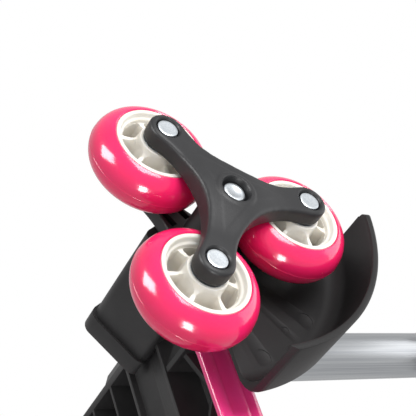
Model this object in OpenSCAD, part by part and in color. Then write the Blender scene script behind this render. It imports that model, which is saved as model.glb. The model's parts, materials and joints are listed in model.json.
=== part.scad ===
// Child's kick scooter with a three-wheel cluster at each front corner.
// X points forward, Y to the rider's left and Z up. The origin is on the ground,
// under the middle of the scooter's box. Sizes are in millimetres.

/* [Wheels] */
// Tyre diameter of every wheel
wheel_d = 60.8; // [52:0.4:64]
// Tyre width
tyre_w = 24; // [18:0.5:26]
// Diameter of the white hub rim, where the tyre begins
hub_d = 43.2; // [38:0.2:46]
// Number of spokes in a hub
hub_spokes = 6; // [4:1:8]
// Outer diameter of a wheel bearing
bearing_d = 17; // [15:0.5:19]
// Width of a wheel bearing
bearing_w = 6; // [5:0.5:7]
// Diameter of the bolt that a wheel turns on
wheel_bolt_d = 6; // [5:0.5:8]

/* [Wheel clusters] */
// Distance from a cluster's axle to each of its wheel bolts
arm_r = 44; // [42:0.5:54]
// Distance between the left and the right wheel planes
track = 319.8; // [300:0.2:360]
// Radius of a spider arm's rounded tip
arm_tip_r = 8.6; // [7:0.2:11]
// Distance from the cluster's axle to the hollow between two arms
spider_waist = 15.6; // [13:0.2:18]
// Thickness of the outer spider's arms
outer_arm_t = 9.2; // [7:0.2:12]
// How far the outer spider's middle stands out past its arms
spider_dome = 3.4; // [1:0.2:5]
// Thickness of the inner spider's arms
inner_arm_t = 8; // [6:0.5:9]
// Diameter of the cluster's axle
cluster_axle_d = 10; // [8:0.5:12]
// Outer radius of the spider's hub tube
hub_tube_r = 10.4; // [9:0.2:12]

/* [Axle boxes and guards] */
// Depth of the axle box, along its long side
box_depth = 37.6; // [32:0.4:44]
// Height of the axle box, across its short side
box_height = 24; // [20:0.4:28]
// Tilt of the axle box about the axle, nose down
box_tilt = 33; // [20:1:40]
// Wall of the axle box
box_wall = 3; // [2:0.2:5]
// Length of the axle box
box_len = 65.6; // [50:0.2:80]
// Width of the solid block that holds the axle box
block_w = 13; // [10:0.5:18]
// Radius of the guard's arch over the wheels
guard_r = 96.8; // [88:0.4:110]
// Wall of the guard
guard_wall = 2.4; // [1.8:0.2:4]

/* [Deck] */
// Length of the foot deck
deck_len = 352; // [300:2:420]
// Width of the deck at the front
deck_front_w = 236; // [220:2:250]
// Width of the deck at the rear
deck_rear_w = 140; // [120:2:180]
// Depth of the deck's sides
deck_depth = 24.4; // [20:0.4:30]
// Wall of the deck shell
deck_wall = 3; // [2:0.2:5]
// Thickness of the grip mat
mat_t = 1.6; // [1:0.2:3]
// Distance from the front axle back to the deck's front edge
deck_setback = 30; // [27:0.5:40]
// Width of an under-deck rail
rail_w = 35.8; // [30:0.4:38]

/* [Steering column] */
// Outer diameter of the lower tube
lower_tube_d = 32; // [28:0.2:34]
// Wall of the lower tube
lower_tube_wall = 2; // [1.6:0.1:3]
// Distance from the front axle forward to the column
column_offset = 27.5; // [20:0.5:34]
// Height of the lower tube's top
lower_tube_top = 362; // [340:2:400]
// Height of the handlebar's middle, at rest
bar_height = 686; // [600:2:760]
// Width of the handlebar over its grips
bar_w = 300; // [260:2:340]
// Outer diameter of the handlebar tube
bar_d = 22.2; // [20:0.2:25.4]
// Length of a grip
grip_len = 96; // [80:1:120]

/* [Rear wheel] */
// Distance from the front axle back to the rear axle
wheelbase = 430; // [400:2:520]
// Lean of the rear kingpin, top forward
kingpin_lean = 28; // [15:1:35]
// Distance from the kingpin back to the rear axle
rear_trail = 54; // [52:1:66]
// Gap between the rear tyre and the brake plate
brake_gap = 3.6; // [2.5:0.1:6]

/* [Hidden] */
SIDES = ["left", "right"];
SPOTS = ["top", "front", "rear"];
SPOT_ANGLE = [90, -30, 210];
$fn = 96;

run_gap = 0.05;          // radial clearance of a turning or sliding fit
side_gap = 0.5;          // clearance between faces that pass each other
big = 400;

black = [0.13, 0.13, 0.14];
soft_black = [0.2, 0.2, 0.21];
pink = [1, 0.16, 0.42];
white = [0.93, 0.91, 0.87];
zinc = [0.78, 0.82, 0.84];
metal = [0.76, 0.77, 0.79];

wheel_r = wheel_d / 2;
hub_r = hub_d / 2;
tyre_crown = ((wheel_r - hub_r) * (wheel_r - hub_r) + tyre_w * tyre_w / 4) / (2 * (wheel_r - hub_r));
seat_r = hub_r - 2.9;    // where the tyre sits on the hub
rim_in = seat_r - 2.2;
lip_t = 1.3;
hub_half = tyre_w / 2 - 0.3;
boss_half = tyre_w / 2 + 0.5;
boss_r = bearing_d / 2 + 2.4;

axle_z = wheel_r + arm_r / 2;
wheel_y = track / 2;
outer_arm_y = wheel_y + boss_half + side_gap;
tip_face_y = outer_arm_y + outer_arm_t;
inner_arm_y = wheel_y - boss_half - side_gap - inner_arm_t;
dome_face_y = tip_face_y + spider_dome;
head_r = wheel_bolt_d * 0.86;
head_h = 3.2;
bore_r = cluster_axle_d / 2;
bush_r = bore_r + 2;
pocket_r = bush_r + 0.4;
pocket_floor = dome_face_y - 10;

guard_wall_y = inner_arm_y - 0.8 - guard_wall;
box_end_y = guard_wall_y;
box_start_y = box_end_y - box_len;
block_start_y = box_start_y - block_w + 2;
box_shift = -3.2;
guard_depth = wheel_y + tyre_w / 2 + 0.6 - guard_wall_y;
guard_center = [17.6, -5.6];
guard_front = 98;
guard_back = 170.5;
guard_low = 2.6;

front_reach = arm_r * cos(30) + wheel_r;
rear_reach = wheelbase + wheel_r + brake_gap + 2.4;
x_axle = (rear_reach - front_reach) / 2;
x_rear = x_axle - wheelbase;

deck_z = axle_z;
deck_top = deck_z + deck_depth;
deck_front = x_axle - deck_setback;
deck_back = deck_front - deck_len;
plate_t = 3;
plate_z = deck_top - deck_wall - plate_t;
tray_top = plate_z + plate_t;
rail_inset = 9;          // how far a rail reaches inwards past its block
rail_y = block_start_y - rail_inset;
cheek_y = deck_front_w / 2 - 17;
cheek_t = 3;
rib_t = 2;
nose_x = x_axle - 2;

column_x = x_axle + column_offset;
column_r = lower_tube_d / 2;
upper_r = column_r - lower_tube_wall - run_gap;
socket_r = column_r + 5;
socket_top = axle_z + 92;
column_foot = axle_z + 50;
upper_foot = lower_tube_top - 120;
collar_h = 30;
collar_t = 4.6;
collar_r = column_r + collar_t;
ear_x = column_x - collar_r - 6;
cam_y = 17;
lever_y = collar_r + 4;
tee_r = bar_d / 2 + 4;

kingpin_r = 5;
kingpin_x = x_rear + rear_trail;
kingpin_z = deck_z - 7;
yoke_in = tyre_w / 2 + 1.5;
yoke_t = 5;
brake_r = wheel_r + brake_gap;
brake_t = 2.4;
brake_w = tyre_w - 1;
brake_hinge = [x_rear + brake_r + 2.6, wheel_r + 23];
brake_pin_r = 2.5;

// --- helpers -------------------------------------------------------------

// An outline in X and Z, drawn out along Y from y to y + h
module y_prism(y, h) {
    translate([0, y + h, 0]) rotate([90, 0, 0]) linear_extrude(h) children();
}

module y_rod(x, z, y, h, r) {
    translate([x, y + h, z]) rotate([90, 0, 0]) cylinder(h = h, r = r);
}

// A profile of radius and height, turned about a line along Y
module y_turned(x, z, y) {
    translate([x, y, z]) rotate([-90, 0, 0]) rotate_extrude() children();
}

module on_side(side) {
    if (side == "left") children();
    else mirror([0, 1, 0]) children();
}

module round_rect(a, b, r) {
    square([a - 2 * r, b], center = true);
    square([a, b - 2 * r], center = true);
    for (i = [-1, 1]) for (j = [-1, 1])
        translate([i * (a / 2 - r), j * (b / 2 - r)]) circle(r);
}

// A bent strap with round ends and corners along a list of points
module strap(points, r) {
    for (p = points) translate(p) circle(r);
    for (i = [1 : len(points) - 1]) let (p = points[i - 1], q = points[i],
        n = [p[1] - q[1], q[0] - p[0]] * (r - 0.02) / norm(q - p))
        polygon([p + n, q + n, q - n, p - n]);
}

// --- wheels --------------------------------------------------------------

module crown_profile() {
    translate([wheel_r - tyre_crown, 0]) circle(tyre_crown);
}

module tyre_profile() {
    difference() {
        crown_profile();
        translate([-big, -big]) square([big + seat_r, 2 * big]);
        for (s = [-1, 1]) translate([0, s * (hub_half - lip_t + big)])
            square([2 * hub_r, 2 * big], center = true);
    }
}

module tyre_at(x, z, y) {
    color(pink) y_turned(x, z, y) tyre_profile();
}

module hub_at(x, z, y) {
    color(white) difference() {
        union() {
            y_turned(x, z, y) {
                translate([rim_in, -hub_half]) square([seat_r - rim_in, 2 * hub_half]);
                for (s = [-1, 1]) translate([rim_in, s * (hub_half - lip_t / 2) - lip_t / 2])
                    square([hub_r - rim_in, lip_t]);
                translate([wheel_bolt_d / 2 + 1, -boss_half]) square([boss_r - wheel_bolt_d / 2 - 1, 2 * boss_half]);
                translate([boss_r - 1, -1.2]) square([rim_in - boss_r + 2, 2.4]);
            }
            for (i = [0 : hub_spokes - 1]) translate([x, y, z]) rotate([0, i * 360 / hub_spokes, 0])
                translate([boss_r - 1, -hub_half + 3, -1.8]) cube([rim_in - boss_r + 2, 2 * hub_half - 6, 3.6]);
        }
        for (i = [0 : hub_spokes - 1]) translate([x, y, z]) rotate([0, (i + 0.5) * 360 / hub_spokes, 0])
            y_rod((boss_r + rim_in) / 2, 0, -5, 10, (rim_in - boss_r) / 2 - 0.8);
        for (s = [-1, 1]) y_rod(x, z, y + s * (boss_half - bearing_w / 2) - bearing_w / 2, bearing_w, bearing_d / 2);
    }
}

module bearings_at(x, z, y) {
    color(zinc) for (s = [-1, 1]) difference() {
        y_rod(x, z, y + s * (boss_half - bearing_w / 2) - bearing_w / 2, bearing_w, bearing_d / 2);
        y_rod(x, z, y - tyre_w, 2 * tyre_w, wheel_bolt_d / 2);
        for (t = [-1, 1]) translate([x, y + s * (boss_half - bearing_w / 2) + t * bearing_w / 2, z])
            rotate([90, 0, 0]) difference() {
                cylinder(h = 1, r = bearing_d / 2 - 1.4, center = true);
                cylinder(h = 2, r = wheel_bolt_d / 2 + 1.2, center = true);
            }
    }
}

function spot_x(i) = x_axle + arm_r * cos(SPOT_ANGLE[i]);
function spot_z(i) = axle_z + arm_r * sin(SPOT_ANGLE[i]);

// --- clusters ------------------------------------------------------------

// Three arms with round tips and a hollow arc between each pair
module spider_outline(tip_r, waist) {
    reach = arm_r;
    // The hollow's arc touches both tips and passes the waist
    arc_c = (reach * reach - (tip_r - waist) * (tip_r - waist)) / (reach + 2 * (tip_r - waist));
    arc_r = arc_c - waist;
    tips = [for (a = SPOT_ANGLE) [cos(a), sin(a)] * reach];
    touch = tip_r / (arc_r + tip_r);
    points = [for (a = SPOT_ANGLE) for (t = [-1, 0, 1])
        let (tip = [cos(a), sin(a)] * reach,
            hollow = [cos(a + t * 60), sin(a + t * 60)] * arc_c)
        t == 0 ? tip : tip + (hollow - tip) * touch];
    order = [for (k = [0 : 2]) for (t = [0 : 2]) points[[0, 2, 1][k] * 3 + t]];
    inner = [for (k = [0 : 2]) for (t = [0 : 3])
        t < 3 ? order[k * 3 + t]
            : [cos(90 + 60 + k * 120), sin(90 + 60 + k * 120)] * (waist + 2)];
    translate([x_axle, axle_z]) difference() {
        union() {
            polygon(inner);
            for (tip = tips) translate(tip) circle(tip_r);
        }
        for (a = SPOT_ANGLE) rotate(a + 180) translate([arc_c, 0]) circle(arc_r);
    }
}

module at_spots() {
    for (i = [0 : 2]) translate([spot_x(i), 0, spot_z(i)]) children();
}

module outer_spider() {
    color(soft_black) difference() {
        union() {
            y_prism(outer_arm_y, outer_arm_t) spider_outline(arm_tip_r, spider_waist);
            y_rod(x_axle, axle_z, tip_face_y - 0.5, spider_dome + 0.5, spider_waist - 2);
            y_rod(x_axle, axle_z, inner_arm_y + inner_arm_t, outer_arm_y - inner_arm_y - inner_arm_t + 1, hub_tube_r);
        }
        y_rod(x_axle, axle_z, 0, big, bush_r);
        y_rod(x_axle, axle_z, pocket_floor, big, pocket_r);
        at_spots() {
            y_rod(0, 0, 0, big, wheel_bolt_d / 2);
            y_rod(0, 0, tip_face_y - head_h - 0.6, big, head_r + 0.8);
        }
    }
}

module inner_spider() {
    color(soft_black) difference() {
        y_prism(inner_arm_y, inner_arm_t) spider_outline(arm_tip_r - 0.6, spider_waist - 0.6);
        y_rod(x_axle, axle_z, 0, big, bush_r);
        at_spots() {
            y_rod(0, 0, 0, big, wheel_bolt_d / 2);
            y_rod(0, 0, inner_arm_y - 1, 5, head_r + 1.2);
        }
    }
}

module wheel_bolts() {
    shank_r = wheel_bolt_d / 2 - run_gap;
    color(zinc) at_spots() {
        y_rod(0, 0, tip_face_y - head_h - 0.6, head_h, head_r);
        y_rod(0, 0, inner_arm_y + 0.4, tip_face_y - head_h - inner_arm_y - 0.4, shank_r);
        difference() {
            translate([0, inner_arm_y + 4, 0]) rotate([90, 0, 0]) cylinder(h = 3.4, r = head_r + 0.6, $fn = 6);
            y_rod(0, 0, 0, big, shank_r);
        }
    }
}

module cluster_bushes() {
    color(white) difference() {
        union() {
            y_rod(x_axle, axle_z, pocket_floor - 14, 14, bush_r);
            y_rod(x_axle, axle_z, inner_arm_y, 14, bush_r);
        }
        y_rod(x_axle, axle_z, 0, big, bore_r + run_gap);
    }
}

module cluster_axle() {
    color(metal) y_rod(x_axle, axle_z, block_start_y + 2, pocket_floor + 7 - block_start_y - 2, bore_r);
}

module cluster_nut() {
    color(zinc) difference() {
        union() {
            y_rod(x_axle, axle_z, pocket_floor + 0.3, 1.2, bush_r);
            y_rod(x_axle, axle_z, pocket_floor + 1.5, 6.2, bore_r + 1.3);
        }
        y_rod(x_axle, axle_z, 0, pocket_floor + 7, bore_r);
    }
}

// --- axle boxes and guards -----------------------------------------------

module box_outline(grow) {
    translate([x_axle, axle_z]) rotate(180 - box_tilt) translate([box_shift, 0])
        round_rect(box_depth + 2 * grow, box_height + 2 * grow, 5 + grow);
}

module axle_box() {
    boss_len = 6;
    color(black) difference() {
        union() {
            difference() {
                y_prism(box_start_y, box_len) box_outline(0);
                y_prism(box_start_y + box_wall, box_len) box_outline(-box_wall);
            }
            y_rod(x_axle, axle_z, box_start_y, box_len - boss_len, bore_r + 2.6);
            guard_holes() cylinder(h = 26, r = 3);
        }
        y_rod(x_axle, axle_z, 0, big, bore_r);
        guard_holes() cylinder(h = 20, r = 1.5);
    }
}

// The two places where the guard is screwed to the box's end, looking inwards
module guard_holes() {
    for (s = [-1, 1]) translate([x_axle, box_end_y, axle_z])
        rotate([0, box_tilt, 0]) translate([-s * (box_depth / 2 - box_wall - 1.2) - box_shift, 0, box_height / 2 - box_wall - 1.2])
        rotate([90, 0, 0]) children();
}

// The guard's flat wall: a slice of the arch's disc above a low rear edge
module guard_wall_outline() {
    back = guard_center[0] - guard_r;
    far = guard_center + [cos(guard_front - 0.6), sin(guard_front - 0.6)] * 1.5 * guard_r;
    translate([x_axle, axle_z]) intersection() {
        translate(guard_center) circle(guard_r - 0.6);
        polygon([[2 * back, guard_low + 8], [back + 1.3, guard_low + 8], [back + 2.4, guard_low + 4],
            [back + 4.8, guard_low + 1.2], [back + 8.8, guard_low], [-24, guard_low], [-18, -2],
            [12, -2], [16, 30], far, [-2 * guard_r, 2 * guard_r]]);
    }
}

module guard() {
    color(black) difference() {
        union() {
            y_prism(guard_wall_y, guard_wall) difference() {
                guard_wall_outline();
                translate([x_axle, axle_z]) circle(bush_r + 2);
            }
            translate([x_axle + guard_center[0], guard_wall_y, axle_z + guard_center[1]])
                rotate([-90, 0, 0]) rotate([0, 0, -guard_back]) rotate_extrude(angle = guard_back - guard_front)
                translate([guard_r - guard_wall, 0]) square([guard_wall, guard_depth]);
        }
        guard_holes() translate([0, 0, -10]) cylinder(h = 20, r = 1.5);
    }
}

module guard_screws() {
    color(zinc) guard_holes() {
        translate([0, 0, -guard_wall - 0.7]) cylinder(h = 0.7, r = 3);
        translate([0, 0, -guard_wall]) cylinder(h = guard_wall + 14, r = 1.5);
    }
}

// --- deck ----------------------------------------------------------------

function smooth(t) = let (c = min(max(t, 0), 1)) c * c * (3 - 2 * c);

// Half the deck's width at a distance behind its front edge
function deck_half(d) =
    let (rear = deck_rear_w / 2, front = deck_front_w / 2,
        start = 96, span = deck_len * 0.55)
    front + (rear - front) * smooth((d - start) / span);

function round_end(half, d, r) = d >= r ? half : half - r + sqrt(max(r * r - (r - d) * (r - d), 0));

module deck_outline(inset) {
    front_r = 14;
    rear_r = 30;
    steps = 48;
    edge = [for (i = [0 : steps])
        let (u = i / steps, d = deck_len * (0.5 - 0.5 * cos(180 * u)),
            front_half = round_end(deck_half(d), d, front_r),
            half = min(front_half, round_end(deck_half(d), deck_len - d, rear_r)),
            x = min(max(deck_front - d, deck_back + inset), deck_front - inset))
        [x, half - inset]];
    mirrored = [for (i = [0 : steps]) [edge[steps - i][0], -edge[steps - i][1]]];
    polygon(concat(edge, mirrored));
}

module deck_screw_spots() {
    for (x = [deck_front - 40, deck_front - 150, deck_front - 260]) for (s = [-1, 1])
        translate([x, s * (rail_y + rail_w / 2), 0]) children();
}

module deck_shell() {
    color(pink) difference() {
        translate([0, 0, deck_z]) linear_extrude(deck_depth) deck_outline(0);
        translate([0, 0, deck_z - 1]) linear_extrude(deck_depth - deck_wall + 1) deck_outline(deck_wall);
        translate([0, 0, deck_top - mat_t / 2]) linear_extrude(mat_t) deck_outline(12);
        deck_screw_spots() cylinder(h = big, r = 2);
        // The chassis passes through the front wall
        translate([deck_front - 8, -cheek_y - 11, 0]) cube([20, 2 * cheek_y + 22, deck_top - deck_wall]);
        // and the steering head's mount through the rear wall
        difference() {
            kingpin_frame() translate([0, 0, -6]) cylinder(h = 60, r = 15.4);
            translate([0, 0, deck_top - deck_wall]) linear_extrude(big) square(3 * big, center = true);
        }
    }
}

module grip_mat() {
    color(soft_black) translate([0, 0, deck_top - mat_t / 2]) linear_extrude(mat_t) deck_outline(12.3);
}

nose_half = rail_y + 1;

module chassis() {
    rail_len = nose_x - deck_back - deck_wall - 10;
    rail_h = plate_z - deck_z;
    color(black) difference() {
        union() {
            translate([0, 0, plate_z]) linear_extrude(plate_t) intersection() {
                deck_outline(deck_wall + 0.4);
                translate([deck_back, -big]) square([deck_len - deck_wall - 1, 2 * big]);
            }
            translate([deck_front - 20, -rail_y - rail_w, plate_z]) cube([nose_x - deck_front + 20, 2 * (rail_y + rail_w), plate_t]);
            // Front walls beside the rails
            for (s = [-1, 1]) translate([deck_front - 4.5, s > 0 ? rail_y + rail_w - 1 : -cheek_y - 8, deck_z + 1])
                cube([3, cheek_y + 8 - rail_y - rail_w + 1, plate_z - deck_z]);
            // Rails with the tray's ribs between them
            for (s = [-1, 1]) {
                translate([0, 0, deck_z]) linear_extrude(rail_h + 0.5) intersection() {
                    translate([nose_x - rail_len, s > 0 ? rail_y : -rail_y - rail_w]) square([rail_len, rail_w]);
                    union() {
                        deck_outline(deck_wall + 0.4);
                        translate([deck_front - 40, -big]) square([big, 2 * big]);
                    }
                }
                translate([nose_x - rail_len, s * rail_y * 0.5 - rib_t / 2, deck_z + 3]) cube([rail_len, rib_t, rail_h - 2]);
            }
            translate([nose_x - rail_len, -rib_t / 2, deck_z + 3]) cube([rail_len, rib_t, rail_h - 2]);
            for (x = [nose_x - 4, nose_x - 86, nose_x - 168, nose_x - 250])
                translate([x, -rail_y - 1, deck_z + 3]) cube([4, 2 * rail_y + 2, rail_h - 2]);
            // Cheeks under the deck's edge
            for (s = [-1, 1]) y_prism(s * cheek_y - cheek_t / 2, cheek_t)
                translate([x_axle, 0]) polygon([[-deck_setback - 4, plate_z + 0.5], [-deck_setback - 4, deck_z + 3],
                    [-52, deck_z + 11], [-57, deck_z + 11], [-69, deck_z + 5], [-110, deck_z + 12], [-110, plate_z + 0.5]]);
            // Blocks that carry the axle boxes
            for (side = SIDES) on_side(side) y_prism(block_start_y, box_start_y - block_start_y) box_outline(1.6);
            tail_mount();
        }
        for (side = SIDES) on_side(side) {
            y_rod(x_axle, axle_z, block_start_y + 2, big, bore_r);
            y_prism(box_start_y, 50) box_outline(0);
            // Each rail is a shallow channel, open below
            translate([nose_x - rail_len - 1, rail_y + 2.4, deck_z - 1]) cube([rail_len - 8, rail_w - 4.8, 4.5]);
        }
        deck_screw_spots() cylinder(h = big, r = 2);
        kingpin_frame() translate([0, 0, -20]) cylinder(h = 44, r = kingpin_r);
    }
}

module deck_screws() {
    color(zinc) deck_screw_spots() {
        translate([0, 0, deck_z - 2]) cylinder(h = 2, r = 4);
        translate([0, 0, deck_z]) cylinder(h = deck_depth - mat_t, r = 2);
    }
}

// --- steering column -----------------------------------------------------

module stem_socket() {
    slope = socket_r + 1;
    front = column_x + socket_r - 2;
    color(black) difference() {
        union() {
            y_prism(-nose_half + 1.5, 2 * nose_half - 3) polygon([
                [nose_x, tray_top], [front, deck_z + (front - nose_x) / 1.02], [front, deck_z + 56],
                [column_x - slope, deck_z + 62], [deck_front - 1, deck_top + 3], [deck_front + 0.6, deck_top - 1],
                [deck_front + 0.6, tray_top]]);
            translate([column_x, 0, column_foot]) cylinder(h = socket_top - column_foot, r = socket_r);
        }
        translate([column_x, 0, column_foot + 4]) cylinder(h = big, r = column_r);
    }
}

module lower_tube() {
    color(metal) difference() {
        translate([column_x, 0, column_foot + 4]) cylinder(h = lower_tube_top - column_foot - 4, r = column_r);
        translate([column_x, 0, 0]) cylinder(h = big, r = column_r - lower_tube_wall);
    }
}

module clamp_collar() {
    base = lower_tube_top - collar_h + 4;
    color(black) translate([0, 0, base]) difference() {
        union() {
            translate([column_x, 0, 0]) cylinder(h = collar_h, r = collar_r);
            translate([ear_x - 7, -9, 4]) cube([collar_r + 6, 18, collar_h - 8]);
        }
        translate([column_x, 0, -1]) cylinder(h = collar_h - 3, r = column_r);
        translate([column_x, 0, 0]) cylinder(h = collar_h + 1, r = upper_r + 0.6);
        translate([ear_x - 8, -1.5, -1]) cube([collar_r + 8, 3, collar_h + 2]);
        translate([ear_x, 30, collar_h / 2]) rotate([90, 0, 0]) cylinder(h = 60, r = 2.5);
    }
}

module clamp_bolt() {
    z = lower_tube_top + 4 - collar_h / 2;
    color(zinc) {
        y_rod(ear_x, z, -12, 3, 5);
        difference() {
            y_rod(ear_x, z, -9, cam_y + 9 + 3, 2.5);
            translate([ear_x, cam_y, z - 10]) cylinder(h = 20, r = 2.5);
        }
        translate([ear_x, cam_y, z - 8]) cylinder(h = 16, r = 2.5);
    }
}

module clamp_lever() {
    z = lower_tube_top + 4 - collar_h / 2;
    color(soft_black) translate([0, 0, z]) difference() {
        union() {
            translate([ear_x, cam_y, -9]) cylinder(h = 18, r = 7.4);
            translate([0, 0, -9]) linear_extrude(18)
                strap([[ear_x + 2, cam_y + 3], [ear_x + 10, lever_y + 2], [ear_x + 58, lever_y + 2]], 3);
        }
        translate([ear_x, cam_y, -20]) cylinder(h = 40, r = 2.5 + run_gap);
        // A slot straddles the bolt's eye while the lever turns
        translate([ear_x, cam_y, -3.2]) cylinder(h = 6.4, r = 8);
    }
}

module upper_tube() {
    color(metal) difference() {
        translate([column_x, 0, upper_foot]) cylinder(h = bar_height - upper_foot, r = upper_r);
        translate([column_x, 0, 0]) cylinder(h = bar_height - tee_r, r = upper_r - 1.8);
        y_rod(column_x, bar_height, -20, 40, tee_r);
    }
}

module bar_tee() {
    color(black) difference() {
        union() {
            y_rod(column_x, bar_height, -34, 68, tee_r);
            translate([column_x, 0, bar_height - 46]) cylinder(h = 44, r = upper_r + 3.4);
        }
        y_rod(column_x, bar_height, -big, 2 * big, bar_d / 2);
        translate([column_x, 0, 0]) difference() {
            cylinder(h = bar_height - 2, r = upper_r);
            y_rod(0, bar_height, -20, 40, tee_r);
        }
    }
}

module crossbar() {
    half = bar_w / 2 - 3;
    color(metal) difference() {
        y_rod(column_x, bar_height, -half, 2 * half, bar_d / 2);
        y_rod(column_x, bar_height, -big, 2 * big, bar_d / 2 - 1.8);
    }
}

module grip() {
    start = bar_w / 2 - grip_len;
    color(pink) difference() {
        union() {
            y_rod(column_x, bar_height, start, grip_len, bar_d / 2 + 4);
            y_rod(column_x, bar_height, start, 4, bar_d / 2 + 9);
            y_rod(column_x, bar_height, bar_w / 2 - 5, 5, bar_d / 2 + 6.5);
        }
        y_rod(column_x, bar_height, start - 1, grip_len - 2, bar_d / 2);
    }
}

// --- rear wheel ----------------------------------------------------------

module kingpin_frame() {
    translate([kingpin_x, 0, kingpin_z]) rotate([0, kingpin_lean, 0]) children();
}

module tail_mount() {
    difference() {
        kingpin_frame() translate([0, 0, 7]) cylinder(h = 40, r = 15);
        translate([0, 0, plate_z + 0.5]) linear_extrude(big) square(3 * big, center = true);
    }
}

module kingpin() {
    color(zinc) kingpin_frame() {
        translate([0, 0, -17]) cylinder(h = 38, r = kingpin_r);
        translate([0, 0, -17]) difference() {
            cylinder(h = 5.4, r = 9, $fn = 6);
            translate([0, 0, -1]) cylinder(h = 8, r = kingpin_r);
        }
    }
}

module truck_bush() {
    color(pink) kingpin_frame() translate([0, 0, 0.9]) difference() {
        cylinder(h = 6.1, r = 12);
        translate([0, 0, -1]) cylinder(h = 9, r = kingpin_r);
    }
}

module rear_yoke() {
    head = [kingpin_x - x_rear, 0];
    color(soft_black) difference() {
        union() {
            kingpin_frame() translate([0, 0, -11]) cylinder(h = 11.6, r = 14);
            for (s = [-1, 1]) y_prism(s > 0 ? yoke_in : -yoke_in - yoke_t, yoke_t) {
                strap([[x_rear, wheel_r], [kingpin_x - 8, kingpin_z - 6]], 8);
                strap([[x_rear + 24, wheel_r + 8], brake_hinge], 6);
            }
            // A bridge joins the arms to the kingpin's head
            kingpin_frame() translate([-9, -yoke_in - yoke_t, -11]) cube([14, 2 * (yoke_in + yoke_t), 10]);
        }
        kingpin_frame() translate([0, 0, -30]) cylinder(h = 60, r = kingpin_r + run_gap);
        y_rod(x_rear, wheel_r, -big / 2, big, wheel_bolt_d / 2);
        y_rod(brake_hinge[0], brake_hinge[1], -big / 2, big, brake_pin_r);
        y_rod(x_rear, wheel_r, -yoke_in, 2 * yoke_in, wheel_r + 3);
        kingpin_frame() translate([0, 0, -31]) cylinder(h = 20, r = 11);
    }
}

module rear_axle() {
    arm_out = yoke_in + yoke_t;
    color(zinc) {
        y_rod(x_rear, wheel_r, -arm_out - 5, 2 * arm_out + 5, wheel_bolt_d / 2 - run_gap);
        y_rod(x_rear, wheel_r, arm_out, head_h, head_r + 0.6);
        difference() {
            translate([x_rear, -arm_out, wheel_r]) rotate([90, 0, 0]) cylinder(h = 4.4, r = head_r + 1.2, $fn = 6);
            y_rod(x_rear, wheel_r, -big / 2, big, wheel_bolt_d / 2 - run_gap);
        }
    }
}

module brake_plate() {
    color(black) difference() {
        union() {
            translate([x_rear, -brake_w / 2, wheel_r]) rotate([-90, 0, 0]) rotate([0, 0, -150])
                rotate_extrude(angle = 112) translate([brake_r, 0]) square([brake_t, brake_w]);
            for (s = [-1, 1]) y_prism(s * (brake_w / 2 - 2) - 2, 4)
                strap([brake_hinge, [x_rear, wheel_r] + [cos(42), sin(42)] * (brake_r + 4)], 4);
        }
        y_rod(brake_hinge[0], brake_hinge[1], -big / 2, big, brake_pin_r + run_gap);
        y_rod(x_rear, wheel_r, -big / 2, big, brake_r);
    }
}

module brake_pin() {
    color(zinc) y_rod(brake_hinge[0], brake_hinge[1], -yoke_in - yoke_t - 0.5, 2 * (yoke_in + yoke_t) + 1, brake_pin_r);
}

module brake_spring() {
    color(zinc) difference() {
        y_rod(brake_hinge[0], brake_hinge[1], -6, 12, brake_pin_r + 1.4);
        y_rod(brake_hinge[0], brake_hinge[1], -7, 14, brake_pin_r);
    }
}

// --- assembly ------------------------------------------------------------

for (side = SIDES) for (i = [0 : 2]) {
    name = str(side, "_", SPOTS[i], "_");
    on_side(side) tyre_at(spot_x(i), spot_z(i), wheel_y);
    on_side(side) hub_at(spot_x(i), spot_z(i), wheel_y);
    on_side(side) bearings_at(spot_x(i), spot_z(i), wheel_y);
}
for (side = SIDES) {
    on_side(side) outer_spider();
    on_side(side) inner_spider();
    on_side(side) wheel_bolts();
    on_side(side) cluster_bushes();
    on_side(side) cluster_axle();
    on_side(side) cluster_nut();
    on_side(side) axle_box();
    on_side(side) guard();
    on_side(side) guard_screws();
    on_side(side) grip();
}
deck_shell();
chassis();
grip_mat();
deck_screws();
stem_socket();
lower_tube();
clamp_collar();
clamp_bolt();
clamp_lever();
upper_tube();
bar_tee();
crossbar();
rear_yoke();
kingpin();
truck_bush();
tyre_at(x_rear, wheel_r, 0);  // rear_tyre
hub_at(x_rear, wheel_r, 0);  // rear_hub
bearings_at(x_rear, wheel_r, 0);  // rear_bearings
rear_axle();
brake_plate();
brake_pin();
brake_spring();
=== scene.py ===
# Looks for the kick scooter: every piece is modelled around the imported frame, in metres.
import json
import math

import bpy
from mathutils import Matrix, Vector


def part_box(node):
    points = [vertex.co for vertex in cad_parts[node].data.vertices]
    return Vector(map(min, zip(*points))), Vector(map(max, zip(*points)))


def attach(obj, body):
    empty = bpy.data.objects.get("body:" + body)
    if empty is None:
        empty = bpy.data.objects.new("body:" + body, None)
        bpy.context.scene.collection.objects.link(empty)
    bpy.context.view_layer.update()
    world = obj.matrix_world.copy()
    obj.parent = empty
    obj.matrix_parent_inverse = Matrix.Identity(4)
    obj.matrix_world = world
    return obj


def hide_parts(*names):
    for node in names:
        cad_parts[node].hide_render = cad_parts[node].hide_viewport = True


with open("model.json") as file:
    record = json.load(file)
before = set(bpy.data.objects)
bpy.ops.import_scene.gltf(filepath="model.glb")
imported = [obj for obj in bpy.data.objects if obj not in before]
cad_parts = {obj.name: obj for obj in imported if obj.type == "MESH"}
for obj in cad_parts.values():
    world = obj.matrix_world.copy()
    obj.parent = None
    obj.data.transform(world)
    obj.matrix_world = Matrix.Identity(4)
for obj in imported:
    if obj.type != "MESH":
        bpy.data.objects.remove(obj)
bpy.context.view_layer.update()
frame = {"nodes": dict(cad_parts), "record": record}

MM = 0.001
SIDES = {"left": 1, "right": -1}
SPOTS = ("top", "front", "rear")


def middle(node):
    low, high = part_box(node)
    return (low + high) / 2


def size(node):
    low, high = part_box(node)
    return high - low


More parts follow.
